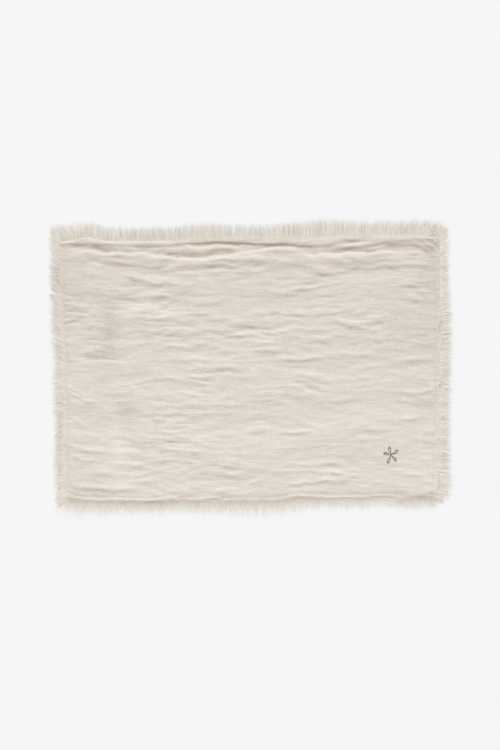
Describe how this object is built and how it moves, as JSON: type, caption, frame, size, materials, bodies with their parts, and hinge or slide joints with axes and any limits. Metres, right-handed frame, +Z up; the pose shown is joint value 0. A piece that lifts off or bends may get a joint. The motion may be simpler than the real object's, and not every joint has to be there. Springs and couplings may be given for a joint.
{
  "type": "placemat",
  "caption": "Flat rectangular placemat of washed linen gauze with a frayed fringe on all four edges; lies on a table under a plate.",
  "frame": {"origin": "on the table surface, under the middle of the mat", "axes": "+X along the mat's length, +Y across it away from the diner, +Z up"},
  "size_m": [0.4589, 0.3369, 0.0041],
  "materials": {
    "linen": "washed gauze weave, matt",
    "yarn": "loose soft linen yarn, matt"
  },
  "bodies": {
    "root": {"cloth": "linen", "fringe_top": "yarn", "fringe_bottom": "yarn", "fringe_left": "yarn", "fringe_right": "yarn"}
  },
  "joints": []
}
